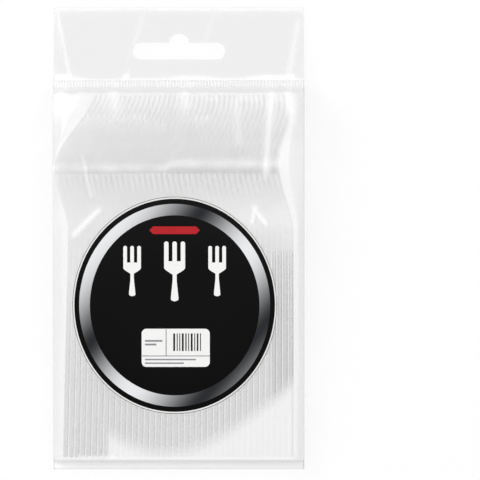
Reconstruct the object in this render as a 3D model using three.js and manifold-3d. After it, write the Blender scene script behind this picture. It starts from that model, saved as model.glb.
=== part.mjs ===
// A clear film header bag that holds one nested stack of clear plastic forks, with an oval label.
// Units are millimetres. The pack lies on its back: +X is to the right of its face, +Y runs towards
// the hanging header, +Z comes out of its face, and the origin is under the middle of the pack.
import * as THREE from "three";
import { mergeVertices } from "three/addons/utils/BufferGeometryUtils.js";
import Module from "manifold-3d";

// Fork seen from its face
const FORK_COUNT = 40;
const FORK_LENGTH = 180;
const HANDLE_END_WIDTH = 12.6;
const HANDLE_END_ROUND = 5;
const HANDLE_WIDTH = 15.2;
const HANDLE_WIDEST_AT = 47;
const NECK_WIDTH = 8.5;
const NECK_LENGTH = 8;
const BOWL_LENGTH = 33;
const HEAD_WIDTH = 28;
const TINE_LENGTH = 39;
const WIDEST_PAST_ROOT = 4;
const TINE_GAP = 2.6;
const OUTER_TINE_WIDTH = 5.6;
const TIP_WIDTH = 1.3;
const TIP_SPREAD = 19;

// Fork seen from its edge
const RIM_THICKNESS = 2.5;
const RIM_WIDTH = 1.8;
const WEB_THICKNESS = 1.9;
const HEAD_THICKNESS = 2.2;
const TIP_THICKNESS = 1;
const BOWL_DROP = 8;
const BOWL_DISH = 1.5;
const TIP_RISE = 5.2;

// Nested stack: the handles spread a little and the tips close up, fork by fork
const NEST_CLEARANCE = 0.3;
const HANDLE_SPREAD = 0.07;
const TIP_CLOSING = 0.37;
const STACK_LEAN = 1.35;

// Film bag: its wall is drawn thicker than the real film
const FILM = 0.3;
const FIT_CLEARANCE = 0.4;
const SIDE_SLACK = 5.2;
const BOTTOM_SLACK = 1.5;
const TOP_SLACK = 3.1;
const SEAM_GAP = 0.3;
const BOTTOM_SEAL = 4;
const WELD_BAND = 3.2;
const HEADER_HEIGHT = 36.5;
const HEADER_LIFT = 9;
const EDGE_DROP = 4;
const GUSSET_FOLD = 3;
const GATHER_COUNT = 6;
const GATHER_DEPTH = 0.9;
const VENT_DIAMETER = 5;
const VENT_FROM_BOTTOM = 45;

// Hanging slot
const SLOT_WIDTH = 46;
const SLOT_HEIGHT = 8.4;
const HUMP_RADIUS = 5.1;
const HUMP_RISE = 4.5;
const SLOT_FROM_TOP = 21.8;

// Label
const LABEL_WIDTH = 101;
const LABEL_HEIGHT = 108;
const LABEL_THICKNESS = 0.2;
const LABEL_CLEARANCE = 0.3;
const LABEL_TO_LEFT = 2;
const LABEL_FROM_BOTTOM = 81.5;

const wasm = await Module();
wasm.setup();

const clearFilm = new THREE.MeshStandardMaterial({
  color: "#eef0f1",
  roughness: 0.12,
  metalness: 0,
  transparent: true,
  opacity: 0.25,
});
const clearPolystyrene = new THREE.MeshStandardMaterial({
  color: "#e6e9ea",
  roughness: 0.18,
  metalness: 0,
  transparent: true,
  opacity: 0.6,
});
const printedLabel = new THREE.MeshStandardMaterial({
  color: "#101010",
  roughness: 0.35,
  metalness: 0,
});

function ease(share) {
  const t = THREE.MathUtils.clamp(share, 0, 1);
  return t * t * (3 - 2 * t);
}

const mix = THREE.MathUtils.lerp;

// A closed surface that is put together from rings of points
class Skin {
  points = [];
  triangles = [];

  add(x, y, z) {
    this.points.push(x, y, z);
    return this.points.length / 3 - 1;
  }

  // A strip between two chains of points that run the same way, which may differ in number
  bridge(first, second) {
    let i = 0;
    let j = 0;
    while (i < first.length - 1 || j < second.length - 1) {
      const nextFirst = (i + 1) / (first.length - 1);
      const nextSecond = (j + 1) / (second.length - 1);
      if (nextSecond <= nextFirst) {
        this.triangles.push(first[i], second[j], second[j + 1]);
        j += 1;
      } else {
        this.triangles.push(first[i], second[j], first[i + 1]);
        i += 1;
      }
    }
  }

  // A wall between two closed rings of as many points
  wrap(first, second) {
    first.forEach((_, k) => {
      const next = (k + 1) % first.length;
      this.bridge([first[k], first[next]], [second[k], second[next]]);
    });
  }

  quad(a, b, c, d) {
    this.triangles.push(a, b, c, a, c, d);
  }

  geometry() {
    const made = new THREE.BufferGeometry();
    made.setAttribute("position", new THREE.Float32BufferAttribute(this.points, 3));
    made.setIndex(this.triangles);
    return made;
  }
}

// Fork: its stations run from the handle's end, 0, to the tine tips, FORK_LENGTH
const rootAt = FORK_LENGTH - TINE_LENGTH;
const headAt = rootAt + WIDEST_PAST_ROOT;
const neckEnd = headAt - BOWL_LENGTH;
const neckStart = neckEnd - NECK_LENGTH;
const tipReach = (TIP_SPREAD + TIP_WIDTH) / 2;

// The handle's round end, from a short flat to its full width
const endAngles = [25, 55, 90].map(THREE.MathUtils.degToRad);
const endFlat = Math.cos(endAngles[0]);
const endStations = endAngles.map((angle) => ({
  at: HANDLE_END_ROUND * (1 - Math.cos(angle) / endFlat),
  half: (HANDLE_END_WIDTH / 2) * Math.sin(angle),
}));

const handleStations = [HANDLE_WIDEST_AT, neckStart, neckEnd];
const bowlStations = [0.4, 0.75].map((share) => neckEnd + BOWL_LENGTH * share);
const tineStations = [headAt, (headAt + FORK_LENGTH) / 2, FORK_LENGTH];

// The share of the way from the head's widest place to the tips
function pastHead(at) {
  return (at - headAt) / (FORK_LENGTH - headAt);
}

// Half the fork's width, past the handle's round end: it bulges along the outer tines
function halfWidth(at) {
  if (at <= HANDLE_WIDEST_AT) {
    const share = (at - HANDLE_END_ROUND) / (HANDLE_WIDEST_AT - HANDLE_END_ROUND);
    return mix(HANDLE_END_WIDTH, HANDLE_WIDTH, ease(share)) / 2;
  }
  if (at <= neckEnd) {
    const share = (at - HANDLE_WIDEST_AT) / (neckStart - HANDLE_WIDEST_AT);
    return mix(HANDLE_WIDTH, NECK_WIDTH, ease(share)) / 2;
  }
  if (at <= headAt) {
    return mix(NECK_WIDTH, HEAD_WIDTH, ease((at - neckEnd) / BOWL_LENGTH)) / 2;
  }
  return mix(HEAD_WIDTH / 2, tipReach, pastHead(at) ** 2);
}

// The fork's back seen from its edge: a straight handle, a dropped bowl and rising tines
function backCurve(at) {
  const drop = BOWL_DROP * ease((at - neckEnd) / BOWL_LENGTH);
  const rise = (BOWL_DROP + TIP_RISE) * ease(pastHead(at));
  return rise - drop;
}

// The head is dished, so its edges stand forward of its middle
function dish(at, across) {
  return BOWL_DISH * ease((at - neckEnd) / BOWL_LENGTH) * ((2 * across) / HEAD_WIDTH) ** 2;
}

function headThickness(from, at) {
  const bowl = mix(from, HEAD_THICKNESS, ease((at - neckEnd) / BOWL_LENGTH));
  return at <= headAt ? bowl : mix(HEAD_THICKNESS, TIP_THICKNESS, pastHead(at));
}

// The distance from one fork's back to the next one's, along the stack
const pitch = Math.max(RIM_THICKNESS, HEAD_THICKNESS) + NEST_CLEARANCE;
function pitchAt(at) {
  const spread = HANDLE_SPREAD * Math.max(0, 1 - at / neckEnd);
  const closing = TIP_CLOSING * Math.max(0, (at - neckEnd) / (FORK_LENGTH - neckEnd)) ** 3;
  return pitch + spread - closing;
}

// How far a fork's back lies along the stack from its middle, at a station
function backAt(order, at) {
  const lean = STACK_LEAN * (at / neckEnd - 1);
  return (order - (FORK_COUNT - 1) / 2) * pitchAt(at) + lean + backCurve(at);
}

// One fork on edge: x runs through its thickness to its face, y along it and z across it
function forkGeometry(order) {
  const skin = new Skin();
  const back = (at, across) => skin.add(backAt(order, at) + dish(at, across), at, across);
  const face = (at, across, from) =>
    skin.add(backAt(order, at) + dish(at, across) + headThickness(from, at), at, across);

  // A raised rim along both edges with a thinner web between them
  const ring = (at, half) => {
    const inBowl = ease((at - neckEnd) / BOWL_LENGTH);
    const inner = mix(Math.max(half - RIM_WIDTH, half / 3), half / 2, inBowl);
    return [
      back(at, -half),
      face(at, -half, RIM_THICKNESS),
      face(at, -inner, WEB_THICKNESS),
      face(at, inner, WEB_THICKNESS),
      face(at, half, RIM_THICKNESS),
      back(at, half),
      back(at, inner),
      back(at, -inner),
    ];
  };
  const rings = [
    ...endStations.map(({ at, half }) => ring(at, half)),
    ...[...handleStations, ...bowlStations].map((at) => ring(at, halfWidth(at))),
  ];
  const end = rings[0];
  skin.quad(end[0], end[1], end[2], end[7]);
  skin.quad(end[7], end[2], end[3], end[6]);
  skin.quad(end[6], end[3], end[4], end[5]);
  rings.slice(1).forEach((next, k) => skin.wrap(rings[k], next));

  // The row where the tines begin, with two edges for each tine
  const rootHalf = halfWidth(rootAt);
  const innerTineWidth = (2 * rootHalf - 2 * OUTER_TINE_WIDTH - 3 * TINE_GAP) / 2;
  const tineWidths = [OUTER_TINE_WIDTH, innerTineWidth, innerTineWidth, OUTER_TINE_WIDTH];
  const edges = [];
  let edge = -rootHalf;
  tineWidths.forEach((width) => {
    edges.push(edge, edge + width);
    edge += width + TINE_GAP;
  });
  const rootBack = edges.map((across) => back(rootAt, across));
  const rootFace = edges.map((across) => face(rootAt, across, HEAD_THICKNESS));
  const last = rings[rings.length - 1];
  const farEdge = edges.length - 1;
  skin.bridge([last[0], last[1]], [rootBack[0], rootFace[0]]);
  skin.bridge(last.slice(1, 5), rootFace);
  skin.bridge([last[4], last[5]], [rootFace[farEdge], rootBack[farEdge]]);
  skin.bridge([last[5], last[6], last[7], last[0]], [...rootBack].reverse());

  // Four tines that narrow to their tips, the outer two along the fork's outline, and the gaps' floors
  tineWidths.forEach((_, tine) => {
    const low = 2 * tine;
    const high = low + 1;
    const tip = TIP_SPREAD * (tine / (tineWidths.length - 1) - 0.5);
    let before = [rootBack[low], rootFace[low], rootFace[high], rootBack[high]];
    tineStations.forEach((at) => {
      const share = (at - rootAt) / TINE_LENGTH;
      const half = halfWidth(at);
      const from = low === 0 ? -half : mix(edges[low], tip - TIP_WIDTH / 2, share);
      const to = high === farEdge ? half : mix(edges[high], tip + TIP_WIDTH / 2, share);
      const section = [
        back(at, from),
        face(at, from, HEAD_THICKNESS),
        face(at, to, HEAD_THICKNESS),
        back(at, to),
      ];
      skin.wrap(before, section);
      before = section;
    });
    skin.quad(before[0], before[3], before[2], before[1]);
    if (high < farEdge) {
      skin.quad(rootBack[high], rootBack[high + 1], rootFace[high + 1], rootFace[high]);
    }
  });
  return skin.geometry();
}

// The forks rest on the edges of their heads and handles, so the stack is tilted and the pack is a wedge
const restStations = [
  ...endStations,
  ...handleStations.map((at) => ({ at, half: halfWidth(at) })),
];
const restSlope = Math.min(
  ...restStations.map(({ at, half }) => (HEAD_WIDTH / 2 - half) / (headAt - at)),
);
const restHalf = HEAD_WIDTH / 2 - restSlope * headAt;
const tilt = Math.atan(restSlope);
const frontSlope = 2 * tilt;

// Along the pack: the forks' reach from the handle end's place, then the bag's own length
const forkLow = -endStations[0].half * Math.sin(tilt);
const forkHigh = FORK_LENGTH * Math.cos(tilt) + tipReach * Math.sin(tilt);
const belowForks = BOTTOM_SLACK + FILM + BOTTOM_SEAL;
const aboveForks = TOP_SLACK + FILM + WELD_BAND + HEADER_HEIGHT;
const bagLength = belowForks + (forkHigh - forkLow) + aboveForks;
const bagBottom = -bagLength / 2;
const bagTop = bagLength / 2;
const stackY = bagBottom + belowForks - forkLow;
const stackZ = FILM + FIT_CLEARANCE + restHalf * Math.cos(tilt);

// Across the pack: the stack's reach to each side at each station, then the bag's own width
const bodyStations = [
  HANDLE_END_ROUND,
  ...handleStations,
  ...bowlStations,
  rootAt,
  ...tineStations,
];
const lastFork = FORK_COUNT - 1;
const reachLeft = (at) => backAt(0, at);
const reachRight = (at) =>
  backAt(lastFork, at) + dish(at, halfWidth(at)) + headThickness(RIM_THICKNESS, at);
const farLeft = Math.min(reachLeft(0), ...bodyStations.map(reachLeft));
const farRight = Math.max(reachRight(0), ...bodyStations.map(reachRight));
const innerHalf = (farRight - farLeft + FIT_CLEARANCE + SIDE_SLACK) / 2;
const stackX = -innerHalf + FIT_CLEARANCE - farLeft;

// A point of the tilted stack's middle plane in the pack's frame
function inPack(at, across) {
  return {
    y: stackY + at * Math.cos(tilt) - across * Math.sin(tilt),
    z: stackZ + at * Math.sin(tilt) + across * Math.cos(tilt),
  };
}

// The front panel is one flat plane from the handles' ends up to the heads
const planeFoot = inPack(0, restHalf);
function frontPlane(y, standOff) {
  return planeFoot.z + (y - planeFoot.y) * Math.tan(frontSlope) + standOff / Math.cos(frontSlope);
}

// One section of the bag, as places of its inner surface or, grown by the film, of its outer surface
function bagStation(y, back, front, left, right, gather) {
  return { y, back, front, left, right, gather };
}

function bodyStation(at) {
  const { y } = inPack(at, 0);
  const left = stackX + reachLeft(at);
  const right = stackX + reachRight(at);
  if (at <= headAt) {
    return bagStation(y, FILM, frontPlane(y, FIT_CLEARANCE), left, right, 0);
  }
  const front = inPack(at, halfWidth(at)).z + FIT_CLEARANCE;
  const back = inPack(at, -halfWidth(at)).z - FIT_CLEARANCE;
  return bagStation(y, back, front, left, right, pastHead(at));
}

const forkFoot = stackY + forkLow;
const forkTop = stackY + forkHigh;
const atHandles = bodyStation(HANDLE_END_ROUND);
const atTips = bodyStation(FORK_LENGTH);
const flatLow = (y) => bagStation(y, FILM, FILM + SEAM_GAP, atHandles.left, atHandles.right, 0);
const endWall = bagStation(
  forkFoot - FIT_CLEARANCE,
  FILM,
  inPack(0, HANDLE_END_WIDTH / 2).z + FIT_CLEARANCE,
  atHandles.left,
  atHandles.right,
  0,
);
const seamHigh = bagStation(
  forkTop + TOP_SLACK,
  HEADER_LIFT - SEAM_GAP / 2,
  HEADER_LIFT + SEAM_GAP / 2,
  atTips.left,
  atTips.right,
  0,
);
const body = bodyStations.slice(0, -1).map(bodyStation);
const tipStation = { ...atTips, y: forkTop + FIT_CLEARANCE };

const insideStations = [
  flatLow(forkFoot - BOTTOM_SLACK),
  endWall,
  ...body,
  tipStation,
  seamHigh,
];

// The header: two layers of film that droop from the weld to the surface under the pack
const weldTop = bagTop - HEADER_HEIGHT;
const headerStations = [0, 0.25, 0.5, 0.75, 1].map((share) => {
  const middle = mix(HEADER_LIFT, FILM, ease(share));
  return bagStation(mix(weldTop, bagTop, share), middle, middle, atTips.left, atTips.right, 0);
});
const outsideStations = [
  bagStation(bagBottom, FILM, FILM, atHandles.left, atHandles.right, 0),
  flatLow(forkFoot - BOTTOM_SLACK - FILM),
  { ...endWall, y: endWall.y - FILM },
  ...body,
  { ...tipStation, y: tipStation.y + FILM },
  { ...seamHigh, y: seamHigh.y + FILM },
  ...headerStations,
];

// A ring of points round the bag: panels flat over the stack, edges that drop past it, a fold in each side
function bagRing(station, grow) {
  const half = innerHalf + grow;
  const low = station.back - grow;
  const high = station.front + grow;
  const depth = high - low;
  const side = (reach) => {
    const room = innerHalf - reach;
    const drop = Math.min(EDGE_DROP, room, depth / 3);
    return {
      shoulder: reach + room / 3 + grow / 2,
      drop,
      lift: drop / 3,
      fold: Math.min(GUSSET_FOLD, room / 2, depth / 3),
    };
  };
  const left = side(-station.left);
  const right = side(station.right);
  const middle = low + depth / 2;
  const gathers = [];
  for (let k = 1; k < 2 * GATHER_COUNT; k += 1) {
    const x = mix(right.shoulder, -left.shoulder, k / (2 * GATHER_COUNT));
    gathers.push([x, high + (k % 2) * GATHER_DEPTH * station.gather]);
  }
  return [
    [-left.shoulder, low],
    [right.shoulder, low],
    [half, low + right.lift],
    [half - right.fold, middle],
    [half, high - right.drop],
    [right.shoulder, high],
    ...gathers,
    [-left.shoulder, high],
    [-half, high - left.drop],
    [-half + left.fold, middle],
    [-half, low + left.lift],
  ].map(([x, z]) => new THREE.Vector2(x, z));
}

// A closed loft through the bag's sections
function bagLoft(stations, grow) {
  const skin = new Skin();
  const outlines = stations.map((station) => bagRing(station, grow));
  const rings = outlines.map((outline, k) =>
    outline.map(({ x, y }) => skin.add(x, stations[k].y, y)),
  );
  rings.slice(1).forEach((next, k) => skin.wrap(rings[k], next));
  const cap = (k, turned) => {
    THREE.ShapeUtils.triangulateShape(outlines[k], []).forEach(([a, b, c]) => {
      const order = turned ? [a, c, b] : [a, b, c];
      skin.triangles.push(...order.map((corner) => rings[k][corner]));
    });
  };
  cap(0, false);
  cap(rings.length - 1, true);
  return skin.geometry();
}

// A long bar with round ends and a round hump over its middle, for a display hook
function slotGeometry() {
  const round = SLOT_HEIGHT / 2;
  const humpY = round + HUMP_RISE - HUMP_RADIUS;
  const humpStart = Math.asin((round - humpY) / HUMP_RADIUS);
  const outline = new THREE.Shape();
  outline.absarc(SLOT_WIDTH / 2 - round, 0, round, -Math.PI / 2, Math.PI / 2, false);
  outline.absarc(0, humpY, HUMP_RADIUS, humpStart, Math.PI - humpStart, false);
  outline.absarc(round - SLOT_WIDTH / 2, 0, round, Math.PI / 2, (3 * Math.PI) / 2, false);
  const depth = 2 * HEADER_LIFT;
  const made = new THREE.ExtrudeGeometry(outline, { depth, curveSegments: 8, bevelEnabled: false });
  return made.translate(0, bagTop - SLOT_FROM_TOP, -HEADER_LIFT / 2);
}

// A punched hole in the back panel lets the air out of the bag
function ventGeometry() {
  const made = new THREE.CylinderGeometry(VENT_DIAMETER / 2, VENT_DIAMETER / 2, 4 * FILM, 16);
  return made.rotateX(Math.PI / 2).translate(0, bagBottom + VENT_FROM_BOTTOM, FILM / 2);
}

function toSolid(geometry) {
  const bare = new THREE.BufferGeometry();
  bare.setAttribute("position", geometry.getAttribute("position"));
  bare.setIndex(geometry.index);
  const merged = mergeVertices(bare);
  return new wasm.Manifold(
    new wasm.Mesh({
      numProp: 3,
      vertProperties: merged.getAttribute("position").array,
      triVerts: new Uint32Array(merged.index.array),
    }),
  );
}

function toGeometry(solid) {
  const { vertProperties, triVerts } = solid.getMesh();
  const made = new THREE.BufferGeometry();
  made.setAttribute("position", new THREE.BufferAttribute(vertProperties, 3));
  made.setIndex(new THREE.BufferAttribute(triVerts, 1));
  return made;
}

function filmBag() {
  const solid = toSolid(bagLoft(outsideStations, FILM))
    .subtract(toSolid(bagLoft(insideStations, 0)))
    .subtract(toSolid(slotGeometry()))
    .subtract(toSolid(ventGeometry()));
  const mesh = new THREE.Mesh(toGeometry(solid), clearFilm);
  mesh.name = "film_bag";
  return mesh;
}

function forkStack() {
  const stack = new THREE.Group();
  stack.position.set(stackX, stackY, stackZ);
  stack.rotation.x = tilt;
  for (let order = 0; order < FORK_COUNT; order += 1) {
    const fork = new THREE.Mesh(forkGeometry(order), clearPolystyrene);
    fork.name = `fork_${String(order + 1).padStart(2, "0")}`;
    stack.add(fork);
  }
  return stack;
}

function frontLabel() {
  const outline = new THREE.Shape();
  outline.absellipse(0, 0, LABEL_WIDTH / 2, LABEL_HEIGHT / 2, 0, 2 * Math.PI, false);
  const options = { depth: LABEL_THICKNESS, curveSegments: 24, bevelEnabled: false };
  const label = new THREE.Mesh(new THREE.ExtrudeGeometry(outline, options), printedLabel);
  label.name = "front_label";
  const y = bagBottom + LABEL_FROM_BOTTOM;
  label.position.set(-LABEL_TO_LEFT, y, frontPlane(y, FIT_CLEARANCE + FILM + LABEL_CLEARANCE));
  label.rotation.x = frontSlope;
  return label;
}

const pack = new THREE.Group();
pack.add(filmBag(), forkStack(), frontLabel());

export default pack;
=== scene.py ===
"""Looks of a clear film pack of nested plastic forks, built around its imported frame.

Lengths are millimetres until a mesh is made, which is in metres. The pack lies on its back: +X runs to
the right of its face, +Y to the hanging header and +Z out of its face.
"""

from __future__ import annotations

import logging
import math
from dataclasses import dataclass, field
from enum import Enum

import bpy
import numpy as np
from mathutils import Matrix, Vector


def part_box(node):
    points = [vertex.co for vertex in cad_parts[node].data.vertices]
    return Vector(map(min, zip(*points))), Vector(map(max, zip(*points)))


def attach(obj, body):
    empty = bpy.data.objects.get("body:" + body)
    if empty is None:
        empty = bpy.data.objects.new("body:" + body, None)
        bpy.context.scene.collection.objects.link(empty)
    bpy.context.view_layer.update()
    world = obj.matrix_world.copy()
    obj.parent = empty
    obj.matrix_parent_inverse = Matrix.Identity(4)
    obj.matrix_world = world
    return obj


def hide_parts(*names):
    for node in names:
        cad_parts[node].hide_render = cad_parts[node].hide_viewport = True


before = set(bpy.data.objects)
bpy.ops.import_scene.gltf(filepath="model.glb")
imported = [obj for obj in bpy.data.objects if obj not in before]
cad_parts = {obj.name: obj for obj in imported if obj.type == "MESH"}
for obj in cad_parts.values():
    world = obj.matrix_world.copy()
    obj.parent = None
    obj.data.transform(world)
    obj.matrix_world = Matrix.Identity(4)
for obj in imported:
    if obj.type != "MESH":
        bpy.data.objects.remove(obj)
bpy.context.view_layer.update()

MILLIMETRE = 0.001
# Attribute name: on the film, the share of lit white that paints highlights and sheen; on a fork, how near
# a rim is.
HAZE_HIGHLIGHT_OR_RIM = "haze_highlight_or_rim"
Array = np.ndarray
log = logging.getLogger("cutlery_pack")


class Slot(Enum):
    """Three material slot names, which nothing in this script uses."""

    FILM = "clear_film"
    FORK = "clear_polystyrene"
    LABEL = "printed_label"


def linear_colour(hex_code: str) -> tuple[float, float, float, float]:
    """Turn an sRGB hex colour into linear light.

    Args:
        hex_code: The colour as "#rrggbb".

    Returns:
        Red, green and blue in linear light, and an alpha of one.
    """
    levels = np.array([int(hex_code[k : k + 2], 16) for k in (1, 3, 5)]) / 255.0
    linear = np.where(levels <= 0.04045, levels / 12.92, ((levels + 0.055) / 1.055) ** 2.4)
    return (*linear.tolist(), 1.0)


def ease(share: Array | float) -> Array:
    """Rise smoothly from 0 to 1: three times the share's square less twice its cube."""
    held = np.clip(share, 0.0, 1.0)
    return held * held * (3.0 - 2.0 * held)


def mix(first: Array | float, second: Array | float, share: Array | float) -> Array:
    """Go in a straight line from the first value to the second."""
    return first + (second - first) * share


def bell(distance: Array, width: Array | float) -> Array:
    """Fall from 1 as the natural exponent of minus the squared distance over the width."""
    return np.exp(-((distance / width) ** 2))


def grid_faces(rows: int, columns: int, close_rows: bool = False, close_columns: bool = False) -> Array:
    """Give the quads of a grid of points that is stored row by row.

    Args:
        rows: How many rows of points there are.
        columns: How many points a row has.
        close_rows: Whether the last row joins the first.
        close_columns: Whether the last column joins the first.

    Returns:
        Four point numbers for each quad, which faces along the columns' direction crossed with the rows'.
    """
    row = np.arange(rows if close_rows else rows - 1)[:, None]
    column = np.arange(columns if close_columns else columns - 1)[None, :]
    next_row = (row + 1) % rows
    next_column = (column + 1) % columns
    corners = (
        row * columns + column,
        row * columns + next_column,
        next_row * columns + next_column,
        next_row * columns + column,
    )
    return np.stack(np.broadcast_arrays(*corners), axis=-1).reshape(-1, 4)


def add_piece(
    name: str,
    points: Array,
    faces: Array,
    material: bpy.types.Material,
    nodes: list[str],
    haze_highlight_or_rim: Array | None = None,
) -> bpy.types.Object:
    """Put a surface into the scene as a piece of the pack.

    Args:
        name: The piece's name.
        points: Its points in millimetres, one row of three each.
        faces: Its quads, as four point numbers each.
        material: Its finish.
        nodes: The CAD nodes that it stands for.
        haze_highlight_or_rim: On a film, how much lit white is mixed in at each point, which paints its
            highlights and sheen and partly stands for crease and seal whitening; on a fork, how near to a
            rim a point is. From 0 to 1.

    Returns:
        The new object, which rides on the pack's only body.
    """
    mesh = bpy.data.meshes.new(name)
    mesh.from_pydata((points * MILLIMETRE).tolist(), [], faces.tolist())
    mesh.materials.append(material)
    mesh.shade_smooth()
    if haze_highlight_or_rim is not None:
        layer = mesh.attributes.new(HAZE_HIGHLIGHT_OR_RIM, "FLOAT", "POINT")
        layer.data.foreach_set("value", haze_highlight_or_rim.astype(np.float32))
    piece = bpy.data.objects.new(name, mesh)
    bpy.context.scene.collection.objects.link(piece)
    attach(piece, "root")
    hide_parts(*nodes)
    log.info("%s: %d points, %d faces", name, len(points), len(faces))
    return piece


def add_node(
    tree: bpy.types.NodeTree, kind: str, settings: dict | None = None, inputs: dict | None = None
) -> bpy.types.Node:
    """Add a shader node with its settings and links.

    Args:
        tree: The material's or world's node tree.
        kind: The node's type name.
        settings: Values for the node's own properties.
        inputs: A value, or an output socket to link, for each input by its name or number.

    Returns:
        The new node.
    """
    made = tree.nodes.new(kind)
    for name, value in (settings or {}).items():
        setattr(made, name, value)
    for name, value in (inputs or {}).items():
        if isinstance(value, bpy.types.NodeSocket):
            tree.links.new(value, made.inputs[name])
        else:
            made.inputs[name].default_value = value
    return made


def new_material(name: str) -> tuple[bpy.types.Material, bpy.types.NodeTree]:
    """Start a material with an empty node tree."""
    material = bpy.data.materials.new(name)
    material.use_nodes = True
    material.node_tree.nodes.clear()
    return material, material.node_tree


def per_metre(millimetres: float) -> float:
    """Give the noise scale whose features are that many millimetres apart."""
    return 1.0 / (millimetres * MILLIMETRE)


@dataclass(frozen=True)
class BlownFilm:
    """Blown polypropylene film: thin, nearly colourless, glossy, with a lit white mixed in that paints its
    highlights and sheen and partly its crease whitening.
    """

    name: str = "blown_polypropylene_film"
    tint: str = "#f9f9f9"
    # lit white that paints the film's highlights and sheen, and partly its crease whitening
    strain_and_highlight_colour: str = "#fbfbfb"
    roughness: float = 0.2
    gloss_head_on: float = 0.04
    gloss_at_edges: float = 0.15
    gloss_power: float = 5.0
    crinkle_mm: float = 7.0
    crinkle_strength: float = 0.12

    def build(self) -> bpy.types.Material:
        """Make the film: see-through, with a gloss that grows at a glancing angle and a lit white mixed in
        that paints highlights and sheen.

        Returns:
            The material, which reads the piece's attribute of haze and painted highlights.
        """
        material, tree = new_material(self.name)
        place = add_node(tree, "ShaderNodeTexCoord")
        crinkle = add_node(
            tree,
            "ShaderNodeTexNoise",
            inputs={"Vector": place.outputs["Object"], "Scale": per_metre(self.crinkle_mm), "Detail": 3.0},
        )
        bump = add_node(
            tree,
            "ShaderNodeBump",
            inputs={
                "Height": crinkle.outputs["Fac"],
                "Strength": self.crinkle_strength,
                "Distance": MILLIMETRE,
            },
        )
        weight = add_node(tree, "ShaderNodeLayerWeight", inputs={"Blend": 0.5})
        glancing = add_node(
            tree,
            "ShaderNodeMath",
            {"operation": "POWER"},
            {0: weight.outputs["Facing"], 1: self.gloss_power},
        )
        share = add_node(
            tree,
            "ShaderNodeMath",
            {"operation": "MULTIPLY_ADD"},
            {0: glancing.outputs[0], 1: self.gloss_at_edges, 2: self.gloss_head_on},
        )
        clear = add_node(tree, "ShaderNodeBsdfTransparent", inputs={"Color": linear_colour(self.tint)})
        gloss = add_node(
            tree,
            "ShaderNodeBsdfGlossy",
            inputs={"Roughness": self.roughness, "Normal": bump.outputs["Normal"]},
        )
        bright = add_node(
            tree,
            "ShaderNodeMixShader",
            inputs={0: share.outputs[0], 1: clear.outputs[0], 2: gloss.outputs[0]},
        )
        # painted highlights: a lit white diffuse, mixed in by the attribute, stands in for glints and sheen
        # on the film
        strain_and_highlight_white = add_node(
            tree, "ShaderNodeBsdfDiffuse", inputs={"Color": linear_colour(self.strain_and_highlight_colour)}
        )
        haze_highlight_or_rim = add_node(tree, "ShaderNodeAttribute", {"attribute_name": HAZE_HIGHLIGHT_OR_RIM})
        film = add_node(
            tree,
            "ShaderNodeMixShader",
            inputs={0: haze_highlight_or_rim.outputs["Fac"], 1: bright.outputs[0], 2: strain_and_highlight_white.outputs[0]},
        )
        add_node(tree, "ShaderNodeOutputMaterial", inputs={"Surface": film.outputs[0]})
        return material


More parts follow.
